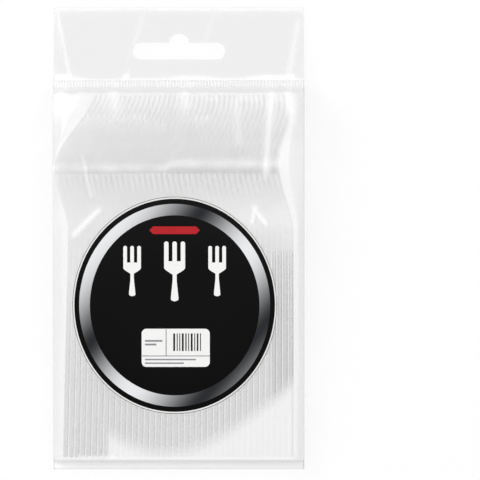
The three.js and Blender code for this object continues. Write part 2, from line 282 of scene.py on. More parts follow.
@dataclass(frozen=True)
class MouldedPolystyrene:
    """Injection-moulded clear polystyrene: hard, glossy, see-through head-on and pale along its edges."""

    name: str = "moulded_clear_polystyrene"
    colour: str = "#f2f2f2"
    tint: str = "#f6f6f6"
    roughness: float = 0.17
    ior: float = 1.59
    handle_tint: str = "#ececec"
    face_tint: str = "#fdfdfd"
    tine_tint: str = "#f9f9f9"
    handle_to_head_mm: tuple[float, float] = (-30.0, 25.0)
    tines_from_mm: tuple[float, float] = (30.0, 34.5)
    tine_body_share: float = 0.35
    gloss_head_on: float = 0.03
    gloss_at_edges: float = 0.25
    gloss_power: float = 4.0
    body_head_on: float = 0.05
    body_at_edges: float = 0.085
    flow_mm: float = 9.0
    flow_gloss: tuple[float, float] = (0.7, 1.4)

    def build(self) -> bpy.types.Material:
        """Make the plastic: a see-through body that grows denser towards a glancing angle.

        Returns:
            The material.
        """
        material, tree = new_material(self.name)
        place = add_node(tree, "ShaderNodeTexCoord")
        flow = add_node(
            tree,
            "ShaderNodeTexNoise",
            inputs={"Vector": place.outputs["Object"], "Scale": per_metre(self.flow_mm), "Detail": 2.0},
        )
        smoothest, roughest = (share * self.roughness for share in self.flow_gloss)
        rough = add_node(
            tree,
            "ShaderNodeMapRange",
            inputs={"Value": flow.outputs["Fac"], "To Min": smoothest, "To Max": roughest},
        )
        plastic = add_node(
            tree,
            "ShaderNodeBsdfPrincipled",
            inputs={
                "Base Color": linear_colour(self.colour),
                "Roughness": rough.outputs[0],
                "IOR": self.ior,
            },
        )
        along = add_node(tree, "ShaderNodeSeparateXYZ", inputs={"Vector": place.outputs["Object"]})
        start, end = (value * MILLIMETRE for value in self.handle_to_head_mm)
        headward = add_node(
            tree,
            "ShaderNodeMapRange",
            inputs={"Value": along.outputs["Y"], "From Min": start, "From Max": end},
        )
        depth = add_node(tree, "ShaderNodeValToRGB", inputs={"Fac": headward.outputs[0]})
        depth.color_ramp.elements[0].color = linear_colour(self.handle_tint)
        depth.color_ramp.elements[1].color = linear_colour(self.tint)
        start, end = (value * MILLIMETRE for value in self.tines_from_mm)
        tines = add_node(
            tree,
            "ShaderNodeMapRange",
            inputs={"Value": along.outputs["Y"], "From Min": start, "From Max": end},
        )
        thinner = add_node(
            tree,
            "ShaderNodeMix",
            {"data_type": "RGBA"},
            {
                0: tines.outputs[0],
                6: depth.outputs["Color"],
                7: linear_colour(self.tine_tint),
            },
        )
        rim = add_node(tree, "ShaderNodeAttribute", {"attribute_name": HAZE_HIGHLIGHT_OR_RIM})
        tint = add_node(
            tree,
            "ShaderNodeMix",
            {"data_type": "RGBA"},
            {0: rim.outputs["Fac"], 6: linear_colour(self.face_tint), 7: thinner.outputs[2]},
        )
        clear = add_node(tree, "ShaderNodeBsdfTransparent", inputs={"Color": tint.outputs[2]})
        weight = add_node(tree, "ShaderNodeLayerWeight", inputs={"Blend": 0.5})
        dense = add_node(
            tree,
            "ShaderNodeMapRange",
            inputs={
                "Value": weight.outputs["Facing"],
                "To Min": self.body_head_on,
                "To Max": self.body_at_edges,
            },
        )
        part = add_node(
            tree,
            "ShaderNodeMapRange",
            inputs={"Value": tines.outputs[0], "To Min": 1.0, "To Max": self.tine_body_share},
        )
        body = add_node(
            tree,
            "ShaderNodeMath",
            {"operation": "MULTIPLY"},
            {0: dense.outputs[0], 1: part.outputs[0]},
        )
        inside = add_node(
            tree,
            "ShaderNodeMixShader",
            inputs={0: body.outputs[0], 1: clear.outputs[0], 2: plastic.outputs[0]},
        )
        glancing = add_node(
            tree,
            "ShaderNodeMath",
            {"operation": "POWER"},
            {0: weight.outputs["Facing"], 1: self.gloss_power},
        )
        share = add_node(
            tree,
            "ShaderNodeMath",
            {"operation": "MULTIPLY_ADD"},
            {0: glancing.outputs[0], 1: self.gloss_at_edges, 2: self.gloss_head_on},
        )
        gloss = add_node(tree, "ShaderNodeBsdfGlossy", inputs={"Roughness": rough.outputs[0]})
        fork = add_node(
            tree,
            "ShaderNodeMixShader",
            inputs={0: share.outputs[0], 1: inside.outputs[0], 2: gloss.outputs[0]},
        )
        add_node(tree, "ShaderNodeOutputMaterial", inputs={"Surface": fork.outputs[0]})
        return material


@dataclass(frozen=True)
class PrintedInk:
    """Ink on satin label paper: even, slightly uneven in gloss, with a faint grain of paper fibre."""

    name: str
    colour: str
    far_colour: str | None = None
    roughness: float = 0.42
    specular: float = 0.05
    fibre_mm: float = 0.6
    fade_angle: float = 0.0
    fade_length: float = 60.0

    def build(self) -> bpy.types.Material:
        """Make the print, with a fade across the label where the ink has a far colour.

        Returns:
            The material.
        """
        material, tree = new_material(self.name)
        place = add_node(tree, "ShaderNodeTexCoord")
        fibre = add_node(
            tree,
            "ShaderNodeTexNoise",
            inputs={"Vector": place.outputs["Object"], "Scale": per_metre(self.fibre_mm), "Detail": 2.0},
        )
        rough = add_node(
            tree,
            "ShaderNodeMapRange",
            inputs={
                "Value": fibre.outputs["Fac"],
                "To Min": 0.85 * self.roughness,
                "To Max": 1.15 * self.roughness,
            },
        )
        ink = add_node(
            tree,
            "ShaderNodeBsdfPrincipled",
            inputs={"Roughness": rough.outputs[0], "Specular IOR Level": self.specular},
        )
        near = linear_colour(self.colour)
        far = linear_colour(self.far_colour or self.colour)
        ramp = add_node(tree, "ShaderNodeValToRGB")
        ramp.color_ramp.elements[0].color = near
        ramp.color_ramp.elements[1].color = far
        if self.far_colour is None:
            shade = 0.9
            ramp.color_ramp.elements[0].color = (shade * near[0], shade * near[1], shade * near[2], 1.0)
            tree.links.new(fibre.outputs["Fac"], ramp.inputs["Fac"])
        else:
            turned = add_node(
                tree,
                "ShaderNodeMapping",
                inputs={"Vector": place.outputs["Object"], "Rotation": (0.0, 0.0, self.fade_angle)},
            )
            wave = add_node(
                tree,
                "ShaderNodeTexWave",
                {"wave_type": "BANDS", "bands_direction": "X", "wave_profile": "SIN"},
                {"Vector": turned.outputs["Vector"], "Scale": per_metre(self.fade_length) * math.pi / 10.0},
            )
            tree.links.new(wave.outputs["Fac"], ramp.inputs["Fac"])
        tree.links.new(ramp.outputs["Color"], ink.inputs["Base Color"])
        add_node(tree, "ShaderNodeOutputMaterial", inputs={"Surface": ink.outputs[0]})
        return material


@dataclass(frozen=True)
class Fork:
    """One moulded fork: a flat handle with raised rims, a narrow neck, a dished bowl and four tines."""

    length: float = 180.0
    end_width: float = 12.6
    end_round: float = 5.0
    handle_width: float = 15.2
    widest_at: float = 47.0
    neck_width: float = 8.5
    neck_length: float = 8.0
    bowl_length: float = 33.0
    head_width: float = 28.0
    tine_length: float = 39.0
    widest_past_root: float = 4.0
    tine_gap: float = 2.6
    outer_tine: float = 5.6
    tip_width: float = 1.3
    tip_spread: float = 19.0
    rim_thickness: float = 2.5
    rim_width: float = 1.8
    web_thickness: float = 1.9
    head_thickness: float = 2.2
    tip_thickness: float = 1.0
    bowl_drop: float = 8.0
    bowl_dish: float = 1.5
    tip_rise: float = 5.2
    edge_round: float = 0.7
    tine_shares: tuple[float, ...] = (0.0, 0.06, 0.2, 0.5, 0.8, 0.94, 1.0)

    @property
    def root_at(self) -> float:
        """Where the tines begin, from the handle's end."""
        return self.length - self.tine_length

    @property
    def head_at(self) -> float:
        """Where the head is widest, a little past the roots of the tines."""
        return self.root_at + self.widest_past_root

    @property
    def neck_end(self) -> float:
        """Where the neck widens into the bowl."""
        return self.head_at - self.bowl_length

    @property
    def neck_start(self) -> float:
        """Where the handle has narrowed to the neck."""
        return self.neck_end - self.neck_length

    @property
    def tip_reach(self) -> float:
        """Half the width over the tips."""
        return (self.tip_spread + self.tip_width) / 2.0

    def in_bowl(self, at: Array | float) -> Array:
        """Give the eased share of the bowl that lies behind a station."""
        return ease((at - self.neck_end) / self.bowl_length)

    def along_tines(self, at: Array | float) -> Array:
        """Give the straight share of the tines that lies behind a station."""
        return np.clip((at - self.root_at) / self.tine_length, 0.0, 1.0)

    def past_head(self, at: Array | float) -> Array:
        """Give the straight share of the way from the head's widest place to the tips."""
        return np.clip((at - self.head_at) / (self.length - self.head_at), 0.0, 1.0)

    def half_width(self, at: Array | float) -> Array:
        """Give half the width: eased from end to widest place, neck and head, then a parabola."""
        handle = ease((at - self.end_round) / (self.widest_at - self.end_round))
        narrowing = ease((at - self.widest_at) / (self.neck_start - self.widest_at))
        width = mix(self.end_width, self.handle_width, handle)
        width = mix(width, self.neck_width, narrowing)
        width = mix(width, self.head_width, self.in_bowl(at))
        width = mix(width, 2.0 * self.tip_reach, self.past_head(at) ** 2)
        past = np.clip((self.end_round - at) / self.end_round, 0.0, 1.0)
        return width / 2.0 * np.sqrt(1.0 - past**2)

    def back_curve(self, at: Array | float) -> Array:
        """Give the back's height seen from the edge: a straight handle, a dropped bowl, rising tines."""
        rise = (self.bowl_drop + self.tip_rise) * ease(self.past_head(at))
        return rise - self.bowl_drop * self.in_bowl(at)

    def dish(self, at: Array | float, across: Array | float) -> Array:
        """Give how far the head stands forward: the square of the share of its half width."""
        return self.bowl_dish * self.in_bowl(at) * (2.0 * across / self.head_width) ** 2

    def rim_at(self, at: Array | float) -> Array:
        """Give the thickness along the edge of the fork."""
        bowl = mix(self.rim_thickness, self.head_thickness, self.in_bowl(at))
        return mix(bowl, self.tip_thickness, self.past_head(at))

    def rows(self) -> Array:
        """Give the stations of the rows, closer together at the ends and in the bowl."""
        turn = np.radians(np.linspace(14.0, 90.0, 8))
        end = self.end_round * (1.0 - np.cos(turn))
        handle = np.linspace(self.end_round, self.neck_start, 16)[1:]
        bowl = np.linspace(self.neck_start, self.root_at, 20)[1:]
        tines = self.root_at + self.tine_length * np.array(
            [0.015, 0.06, 0.14, 0.24, 0.34, 0.44, 0.54, 0.64, 0.74, 0.83, 0.91, 0.965, 0.99, 1.0]
        )
        return np.concatenate([end, handle, bowl, tines])

    def tine_edges(self) -> tuple[Array, Array, Array, Array]:
        """Give the low and high edges of the tines, at their roots and then at their tips."""
        root_half = float(self.half_width(self.root_at))
        inner = (2.0 * root_half - 2.0 * self.outer_tine - 3.0 * self.tine_gap) / 2.0
        widths = np.array([self.outer_tine, inner, inner, self.outer_tine])
        low = -root_half + np.concatenate([[0.0], np.cumsum(widths + self.tine_gap)[:-1]])
        tips = self.tip_spread * (np.arange(4) / 3.0 - 0.5)
        return low, low + widths, tips - self.tip_width / 2.0, tips + self.tip_width / 2.0

    def sheets(self) -> tuple[Array, Array, Array, Array]:
        """Work out the fork's two sheets on a grid of stations and places across.

        A place across is a share of a tine's width, and the outer tines' outer edges follow the fork's
        outline. Behind the roots all places shrink together with the fork's width. The sheets close
        towards every edge along a quarter of an ellipse, for a round edge.

        Returns:
            The stations, the places across, the back's and the face's heights stacked, and how near to the
            rim each place is, from 0 to 1.
        """
        at = self.rows()[:, None]
        low, high, tip_low, tip_high = self.tine_edges()
        shares = np.array(self.tine_shares)
        forward = self.along_tines(at)[:, :, None]
        low_edge = mix(low[None, :, None], tip_low[None, :, None], forward)
        high_edge = mix(high[None, :, None], tip_high[None, :, None], forward)
        half = self.half_width(at)
        behind = at <= self.root_at
        root_half = high[-1]
        low_edge[:, 0] = np.where(behind, -root_half, -half)
        high_edge[:, -1] = np.where(behind, root_half, half)
        places = mix(low_edge, high_edge, shares[None, None, :])
        to_tine_edge = np.minimum(places - low_edge, high_edge - places).reshape(len(at), -1)
        across = places.reshape(len(at), -1)
        across = np.where(behind, across * half / root_half, across)
        to_edge = np.where(behind, half - np.abs(across), to_tine_edge)
        rim = self.rim_at(at)
        raised = ease((np.abs(across) - half + self.rim_width) / self.rim_width)
        hollow = (self.rim_thickness - self.web_thickness) * (1.0 - self.in_bowl(at))
        thick = rim - hollow * (1.0 - raised)
        near_end = np.minimum(at - self.rows()[0], self.length - at)
        inward = np.clip(np.minimum(to_edge, near_end) / self.edge_round, 0.0, 1.0)
        fullness = np.maximum(np.sqrt(1.0 - (1.0 - inward) ** 2), 0.3)
        middle = self.back_curve(at) + self.dish(at, across) + thick / 2.0
        heights = np.stack([middle - thick / 2.0 * fullness, middle + thick / 2.0 * fullness])
        rim_share = 1.0 - ease(np.minimum(to_edge, near_end) / self.rim_width)
        return np.broadcast_to(at, across.shape), across, heights, rim_share

    def faces(self) -> Array:
        """Give the quads that join the two sheets, with open gaps between the tines.

        Returns:
            Four point numbers for each quad. The back sheet's points come first.
        """
        rows = len(self.rows())
        columns = 4 * len(self.tine_shares)
        root = int(np.searchsorted(self.rows(), self.root_at))
        number = np.arange(2 * rows * columns).reshape(2, rows, columns)
        back, face = number
        gaps = np.arange(1, 4) * len(self.tine_shares) - 1
        solid = np.ones((rows - 1, columns - 1), bool)
        solid[root:, gaps] = False
        quads = [
            np.stack([face[:-1, :-1], face[1:, :-1], face[1:, 1:], face[:-1, 1:]], axis=-1)[solid],
            np.stack([back[:-1, :-1], back[:-1, 1:], back[1:, 1:], back[1:, :-1]], axis=-1)[solid],
        ]
        highs = [(columns - 1, 0), *((gap, root) for gap in gaps)]
        lows = [(0, 0), *((gap + 1, root) for gap in gaps)]
        for column, start in highs:
            b, f = back[start:, column], face[start:, column]
            quads.append(np.stack([b[:-1], f[:-1], f[1:], b[1:]], axis=-1))
        for column, start in lows:
            b, f = back[start:, column], face[start:, column]
            quads.append(np.stack([f[:-1], b[:-1], b[1:], f[1:]], axis=-1))
        quads.append(np.stack([face[0, :-1], face[0, 1:], back[0, 1:], back[0, :-1]], axis=-1))
        tips = np.delete(np.arange(columns - 1), gaps)
        for row, here in ((-1, tips), (root, gaps)):
            edge = [back[row, here], back[row, here + 1], face[row, here + 1], face[row, here]]
            quads.append(np.stack(edge, axis=-1))
        return np.concatenate([part.reshape(-1, 4) for part in quads])


@dataclass
class ForkStack:
    """Forty forks nested face to back on edge, tilted so that handles and heads both lie on the film."""

    fork: Fork = field(default_factory=Fork)
    count: int = 40
    nest_clearance: float = 0.3
    handle_spread: float = 0.07
    tip_closing: float = 0.37
    lean: float = 1.35
    film: float = 0.3
    fit: float = 0.4
    bottom_slack: float = 1.5
    bottom_seal: float = 4.0
    finish: MouldedPolystyrene = field(default_factory=MouldedPolystyrene)

    def __post_init__(self) -> None:
        """Work out the tilt and the place of the stack in the pack from its frame."""
        low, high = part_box("film_bag")
        self.bag_low = np.array(low) / MILLIMETRE
        self.bag_high = np.array(high) / MILLIMETRE
        fork = self.fork
        stations = np.linspace(fork.end_round, fork.neck_end, 200)
        slopes = (fork.head_width / 2.0 - fork.half_width(stations)) / (fork.head_at - stations)
        self.tilt = math.atan(float(slopes.min()))
        self.front_slope = 2.0 * self.tilt
        self.rest_half = fork.head_width / 2.0 - math.tan(self.tilt) * fork.head_at
        end_half = fork.end_width / 2.0 * math.sin(math.radians(25.0))
        end = self.bag_low[1] + self.bottom_slack + self.film + self.bottom_seal
        self.place_y = float(end + end_half * math.sin(self.tilt))
        self.place_z = self.film + self.fit + self.rest_half * math.cos(self.tilt)
        leftmost = float(self.back_at(0, self.samples()).min())
        self.place_x = float(self.bag_low[0]) + self.film + self.fit - leftmost

    def samples(self) -> Array:
        """Give stations all along a fork."""
        return np.linspace(0.0, self.fork.length, 300)

    def pitch_at(self, at: Array) -> Array:
        """Give the step from fork to fork: wider at the handles' ends and narrower at the tips."""
        fork = self.fork
        pitch = max(fork.rim_thickness, fork.head_thickness) + self.nest_clearance
        spread = self.handle_spread * np.maximum(0.0, 1.0 - at / fork.neck_end)
        forward = np.maximum(0.0, (at - fork.neck_end) / (fork.length - fork.neck_end))
        return pitch + spread - self.tip_closing * forward**3

    def shift_at(self, order: int, at: Array) -> Array:
        """Give how far a fork is moved along the stack: its steps from the middle, and the lean."""
        steps = order - (self.count - 1) / 2.0
        return steps * self.pitch_at(at) + self.lean * (at / self.fork.neck_end - 1.0)

    def back_at(self, order: int, at: Array) -> Array:
        """Give where the middle of a fork's back is along the stack."""
        return self.shift_at(order, at) + self.fork.back_curve(at)

    def reach(self, y: Array) -> tuple[Array, Array]:
        """Give how far the stack reaches to the left and to the right.

        Args:
            y: Places along the pack.

        Returns:
            The left and the right reach from the pack's middle, both positive.
        """
        fork = self.fork
        at = np.clip((y - self.place_y) / math.cos(self.tilt), 0.0, fork.length)
        left = self.place_x + self.back_at(0, at)
        last_face = fork.dish(at, fork.half_width(at)) + fork.rim_at(at)
        right = self.place_x + self.back_at(self.count - 1, at) + last_face
        return -left, right

    def in_pack(self, at: Array | float, across: Array | float) -> tuple[Array, Array]:
        """Turn a station and a place across the stack by the tilt.

        Args:
            at: Stations along a fork.
            across: Places across it.

        Returns:
            The pack's Y and Z.
        """
        y = self.place_y + at * math.cos(self.tilt) - across * math.sin(self.tilt)
        z = self.place_z + at * math.sin(self.tilt) + across * math.cos(self.tilt)
        return y, z

    def front_plane(self, y: Array | float, stand_off: float) -> Array:
        """Give the height of the plane that touches the handles and the heads, moved out by a stand-off."""
        foot_y, foot_z = self.in_pack(0.0, self.rest_half)
        return foot_z + (y - foot_y) * math.tan(self.front_slope) + stand_off / math.cos(self.front_slope)

    def build(self) -> None:
        """Make every fork as its own piece, moved along the stack and tilted with it."""
        material = self.finish.build()
        at, across, heights, rim_share = self.fork.sheets()
        rims = np.concatenate([rim_share.reshape(-1)] * 2)
        faces = self.fork.faces()
        y, z = self.in_pack(at, across)
        for order in range(self.count):
            x = self.place_x + heights + self.shift_at(order, at)
            points = np.stack(np.broadcast_arrays(x, y, z), axis=-1).reshape(-1, 3)
            name = f"fork_{order + 1:02d}"
            add_piece(f"clear_{name}", points, faces, material, [name], rims)


@dataclass(frozen=True)
class Streak:
    """A crease in the film, raised by its height, with a painted glint along it by its share of white, from
    one place on the pack to another.
    """

    start: tuple[float, float]
    end: tuple[float, float]
    width: float
    haze_highlight_or_rim: float
    height: float = 0.3

    def closeness(self, x: Array, y: Array) -> Array:
        """Give a bell over the distance to the streak's line, which fades past both of its ends.

        Args:
            x: Places across the pack.
            y: Places along the pack.

        Returns:
            A value from 0 to 1 for each place.
        """
        start = np.array(self.start)
        run = np.array(self.end) - start
        length = float(np.hypot(*run))
        along = ((x - start[0]) * run[0] + (y - start[1]) * run[1]) / length
        aside = ((x - start[0]) * run[1] - (y - start[1]) * run[0]) / length
        past = np.maximum(0.0, np.maximum(-along, along - length))
        return bell(aside, self.width) * bell(past, 2.0 * self.width)


@dataclass(frozen=True)
class PaintedGlintRow:
    """A row of painted glints where the ends of the forks meet the film, a fork's pitch apart."""

    y: float
    low_x: float
    high_x: float
    pitch: float
    haze_highlight_or_rim: float
    length: float = 0.9
    fade: float = 2.0

    def amount(self, x: Array, y: Array) -> Array:
        """Give the glints' share of white: a squared sine across the row under a bell along the pack.

        Args:
            x: Places across the pack.
            y: Places along the pack.

        Returns:
            The share of white at each place.
        """
        inside = ease((x - self.low_x) / self.fade + 0.5) * ease((self.high_x - x) / self.fade + 0.5)
        row = self.haze_highlight_or_rim * inside * bell(y - self.y, self.length)
        return row * np.sin(math.pi * x / self.pitch) ** 2


@dataclass
class FilmBag:
    """The clear film bag: a wedge-shaped pouch with side gussets, a weld and a header with a slot."""

    stack: ForkStack
    edge_drop: float = 4.0
    gusset_fold: float = 0.3
    seam_gap: float = 0.3
    weld_band: float = 3.2
    header_height: float = 36.5
    header_lift: float = 9.0
    slot_width: float = 46.0
    slot_height: float = 8.4
    hump_radius: float = 5.1
    hump_rise: float = 4.5
    slot_from_top: float = 21.8
    vent_diameter: float = 5.0
    vent_from_bottom: float = 45.0
    rib_pitch: float = 1.5
    rib_height: float = 0.28
    finish: BlownFilm = field(default_factory=BlownFilm)
    front_columns: int = 151
    side_columns: int = 13
    back_columns: int = 121
    # creases on the pouch's front with painted glints along them
    streaks: tuple[Streak, ...] = (
        Streak((46.1, 71.0), (43.2, 34.0), 1.9, 0.42, 0.5),
        Streak((29.0, 66.0), (30.0, 49.0), 2.2, 0.16, 0.3),
        Streak((-40.2, 13.0), (-51.1, 2.1), 1.1, 0.5, 0.4),
        Streak((36.2, 8.1), (37.7, 14.0), 0.7, 0.5, 0.3),
        Streak((37.7, 14.0), (42.7, 7.6), 0.8, 0.5, 0.3),
        Streak((-47.1, 38.8), (-43.2, 21.5), 0.9, 0.2, 0.2),
        Streak((-32.0, 73.0), (-31.0, 67.0), 2.6, 0.22, 0.2),
        Streak((4.0, 74.0), (4.0, 67.0), 2.6, 0.25, 0.2),
        Streak((-57.5, 73.0), (-60.0, 64.5), 2.2, 0.45, 0.4),
        Streak((55.0, 71.0), (55.5, 63.5), 2.2, 0.45, 0.4),
    )
    # creases on the header with painted highlight lines along them
    header_streaks: tuple[Streak, ...] = (
        Streak((-60.0, 112.0), (-53.6, 78.5), 0.9, 0.4, 0.35),
        Streak((-60.5, 113.0), (-59.0, 97.0), 1.9, 0.25, 0.25),
        Streak((59.0, 106.0), (54.5, 78.5), 1.7, 0.42, 0.45),
        Streak((-16.9, 114.0), (-21.3, 98.0), 1.6, 0.2, 0.25),
        Streak((-21.3, 98.0), (-27.3, 78.5), 1.6, 0.07, 0.25),
        Streak((17.4, 113.0), (13.4, 98.0), 1.6, 0.16, 0.25),
    )
    # rows of painted glints at the handles' ends and near the tips
    glints: tuple[PaintedGlintRow, ...] = (
        PaintedGlintRow(-108.3, -50.0, -32.0, 2.87, 0.45),
        PaintedGlintRow(69.0, 12.4, 19.3, 2.45, 0.22, 1.6),
        PaintedGlintRow(69.0, 29.0, 41.7, 2.45, 0.22, 1.6),
        PaintedGlintRow(69.0, 48.0, 52.0, 2.45, 0.22, 1.6),
        PaintedGlintRow(59.5, -47.0, -15.0, 2.55, 0.16, 1.8),
        PaintedGlintRow(59.5, 8.4, 15.4, 2.55, 0.16, 1.8),
    )
    # Shares of lit white in the film: a faint haze, painted sheen, painted highlights and glare, seam and
    # seal whitening, and a cap.
    clear_haze: float = 0.015
    side_sheen: float = 0.26
    veil_sheen: float = 0.28
    low_right_sheen: float = 0.07
    pale_sheen: float = 0.1
    ridge_highlight: float = 0.33
    tip_highlight: float = 0.22
    neck_highlight: float = 0.12
    right_neck_highlight: float = 0.14
    glare_haze: float = 0.72
    seam_haze: float = 0.25
    seal_haze: float = 0.75
    most_haze: float = 0.9
    gather_height: float = 0.35
    wave_height: float = 0.16
    table_gap: float = 0.05
    tine_stand_off: float = 0.2
    rear_height: float = 2.0
    vent_snap: float = 0.6

    def __post_init__(self) -> None:
        """Work out the places along the pack from the frame's box."""
        self.bottom = float(self.stack.bag_low[1])
        self.top = float(self.stack.bag_high[1])
        self.half = float(self.stack.bag_high[0]) - self.stack.film / 2.0
        self.weld_top = self.top - self.header_height
        self.seam = self.weld_top - self.weld_band
        self.stand_off = self.stack.fit + self.stack.film

    def profile(self) -> tuple[Array, Array, Array, Array]:
        """Work out the front and back panels seen from the side, as places joined by straight runs.

        The corners of the runs are rounded by averaging each place with its neighbours.

        Returns:
            The front panel's Y and Z and the back panel's Y and Z, row by row.
        """
        stack, fork = self.stack, self.stack.fork
        off = self.stand_off
        wall_y, wall_z = stack.in_pack(0.0, fork.end_width / 2.0)
        ridge_y, ridge_z = stack.in_pack(fork.head_at, fork.head_width / 2.0)
        heel_y, _ = stack.in_pack(fork.head_at, -fork.head_width / 2.0)
        tip_y, tip_z = stack.in_pack(fork.length, fork.tip_reach)
        low_y, low_z = stack.in_pack(fork.length, -fork.tip_reach)
        seal_y = self.bottom + stack.bottom_seal
        foot_y = wall_y + fork.end_round
        gap = self.seam_gap / 2.0
        runs = [
            (self.bottom, 0.4, self.bottom, 0.1, 6),
            (seal_y, 0.5, seal_y, 0.1, 26),
            (wall_y - 0.9, wall_z + 0.2, seal_y + 3.0, 0.1, 12),
            (foot_y, float(stack.front_plane(foot_y, off)), foot_y, 0.1, 118),
            (ridge_y, ridge_z + off, heel_y, 0.1, 16),
            *(self.over_tines(share, 16) for share in (0.33, 0.67)),
            (tip_y + 0.9, tip_z + off + 0.3, low_y + 0.8, low_z - off, 30),
            (self.seam, self.header_lift + gap, self.seam, self.header_lift - gap, 7),
            (self.weld_top, self.header_lift + gap, self.weld_top, self.header_lift - gap, 0),
        ]
        steps = np.cumsum([0, *(run[4] for run in runs[:-1])])
        rows = np.arange(steps[-1] + 1)
        lines = [np.interp(rows, steps, [run[k] for run in runs]) for k in range(4)]
        return tuple(self.rounded(line) for line in lines)

    def over_tines(self, share: float, rows: int) -> tuple[float, float, float, float, int]:
        """Give the panels' places at a share of the way from the heads' ridge to the tips.

        Args:
            share: The share of the way.
            rows: How many rows follow up to the next place.

        Returns:
            The front panel's Y and Z, the back panel's Y and Z, and the rows.
        """
        fork = self.stack.fork
        at = mix(fork.head_at, fork.length, share)
        half = float(fork.half_width(at))
        front_y, front_z = self.stack.in_pack(at, half)
        back_y, back_z = self.stack.in_pack(at, -half)
        over = front_z + self.stand_off + self.tine_stand_off
        return front_y, over, back_y, back_z - self.stand_off, rows

    @staticmethod
    def rounded(line: Array, reach: int = 3) -> Array:
        """Average each place with its neighbours under a bell, holding both ends.

        Args:
            line: The places.
            reach: How many neighbours on each side take part.

        Returns:
            The rounded places.
        """
        weights = bell(np.arange(-reach, reach + 1), reach / 1.7)
        before = 2.0 * line[0] - line[reach:0:-1]
        after = 2.0 * line[-1] - line[-2 : -reach - 2 : -1]
        padded = np.concatenate([before, line, after])
        return np.convolve(padded, weights / weights.sum(), "valid")

    def waves(self, x: Array, y: Array) -> Array:
        """Give the slow unevenness of loose film: four sine waves that cross at unlike angles.

        Args:
            x: Places across the pack.
            y: Places along the pack.

        Returns:
            Heights from -1 to 1.
        """
        return (
            np.sin(x / 4.1 + y / 17.0)
            + np.sin(x / 2.9 - y / 23.0 + 1.7)
            + np.sin(x / 7.3 + y / 6.1 + 0.6)
            + np.sin(y / 5.3 - x / 11.0 + 2.9)
        ) / 4.0

    def label_mask(self, x: Array, y: Array) -> Array:
        """Tell where the label holds the film flat.

        Args:
            x: Places across the pack.
            y: Places along the pack.

        Returns:
            0 under the label and 1 clear of it.
        """
        low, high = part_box("front_label")
        middle = (np.array(low) + np.array(high)) / 2.0 / MILLIMETRE
        half = (np.array(high) - np.array(low)) / 2.0 / MILLIMETRE
        away = np.hypot((x - middle[0]) / half[0], (y - middle[1]) / half[1])
        return ease((away - 1.02) / 0.12)

    def front_relief(self, x: Array, y: Array) -> Array:
        """Give how far the front panel stands out: gathers over the tines, slow waves and creases.

        Args:
            x: Places across the pack.
            y: Places along the pack.

        Returns:
            The heights over the panel's profile.
        """
        fork = self.stack.fork
        ridge_y, _ = self.stack.in_pack(fork.head_at, fork.head_width / 2.0)
        tip_y, _ = self.stack.in_pack(fork.length, fork.tip_reach)
        over_tines = ease((y - ridge_y) / (tip_y - ridge_y)) * (1.0 - ease((y - tip_y - 1.5) / 2.5))
        gathers = np.sin(x / 1.9 + 1.3 * np.sin(x / 13.0)) * (0.6 + 0.4 * np.sin(x / 9.0 + 0.8))
        relief = self.gather_height * over_tines * (1.0 + gathers) + self.wave_height * self.waves(x, y)
        creases = sum(streak.height * streak.closeness(x, y) for streak in self.streaks)
        flat = ease((y - self.bottom - 3.0) / 4.0) * (1.0 - ease((y - self.seam + 2.5) / 2.5))
        return (relief + creases) * self.label_mask(x, y) * flat

    def front_haze_and_highlights(self, x: Array, y: Array) -> Array:
        """Give the front panel's share of white, which paints light: a sheen over and beside the stack with
        a paler band, highlights along the heads' ridge, over the tips, at the neck and as glare, glints as
        marks and streaks, and whitening at the seams.

        Args:
            x: Places across the pack.
            y: Places along the pack.

        Returns:
            How much lit white is mixed into the film at each place, from 0 to 1: mostly painted highlights
            and sheen, partly seam whitening.
        """
        fork = self.stack.fork
        ridge_y, _ = self.stack.in_pack(fork.head_at, fork.head_width / 2.0)
        tip_y, _ = self.stack.in_pack(fork.length, fork.tip_reach)
        left, right = self.stack.reach(y)
        over_stack = ease((x + left + 1.5) / 2.0) * ease((right + 1.5 - x) / 2.0)
        ridge_line = ridge_y - 0.6 + 2.4 * ease((x + 8.0) / 6.0)
        uneven = 0.75 + 0.25 * np.sin(x / 3.1) * np.sin(x / 7.7)
        # painted highlight: a pale band along the crest where the film bends over the heads' widest places
        ridge = self.ridge_highlight * bell(y - ridge_line, 2.2) * over_stack * uneven
        on_wall = 1.0 - 0.6 * ease((y - tip_y) / 3.0)
        # painted highlight over the tines, weaker down the wall past the tips
        tips = self.tip_highlight * ease((y - tip_y + 21.0) / 22.0) * on_wall
        # painted sheen: white over and beside the stack, less at the lower right and paler in a band on the
        # left
        low_right = ease((x - 44.0) / 4.0) * ease((-y - 4.0) / 6.0)
        pale = self.pale_sheen * bell(y + 22.0, 22.0) * ease(-x / 30.0)
        white_sheen = mix(self.side_sheen, mix(self.veil_sheen + pale, self.low_right_sheen, low_right), over_stack)
        neck_y, _ = self.stack.in_pack(fork.neck_end - 2.0, 0.0)
        # painted highlight where the film stands off the necks, stronger to the right
        neck = self.neck_highlight + self.right_neck_highlight * ease((x + 10.0) / 30.0)
        neck = neck * bell(y - neck_y - 9.0, 9.0)
        # painted glare under an arc near the handles' ends
        arc = -101.5 - 4.5 * np.cos((x + 6.0) / 20.0) + 0.0065 * (x + 6.0) ** 2
        glare = ease((arc - y) / 12.0 + 0.5) * ease((x + 37.0) / 4.0) * ease((59.0 - x) / 4.0)
        # painted glints where the forks' ends meet the film
        glints = sum(row.amount(x, y) for row in self.glints)
        seams = self.seam_haze * bell(y - self.seam, 2.4)
        seams = seams + self.seal_haze * (1.0 - ease((y - self.bottom - 3.0) / 2.5))
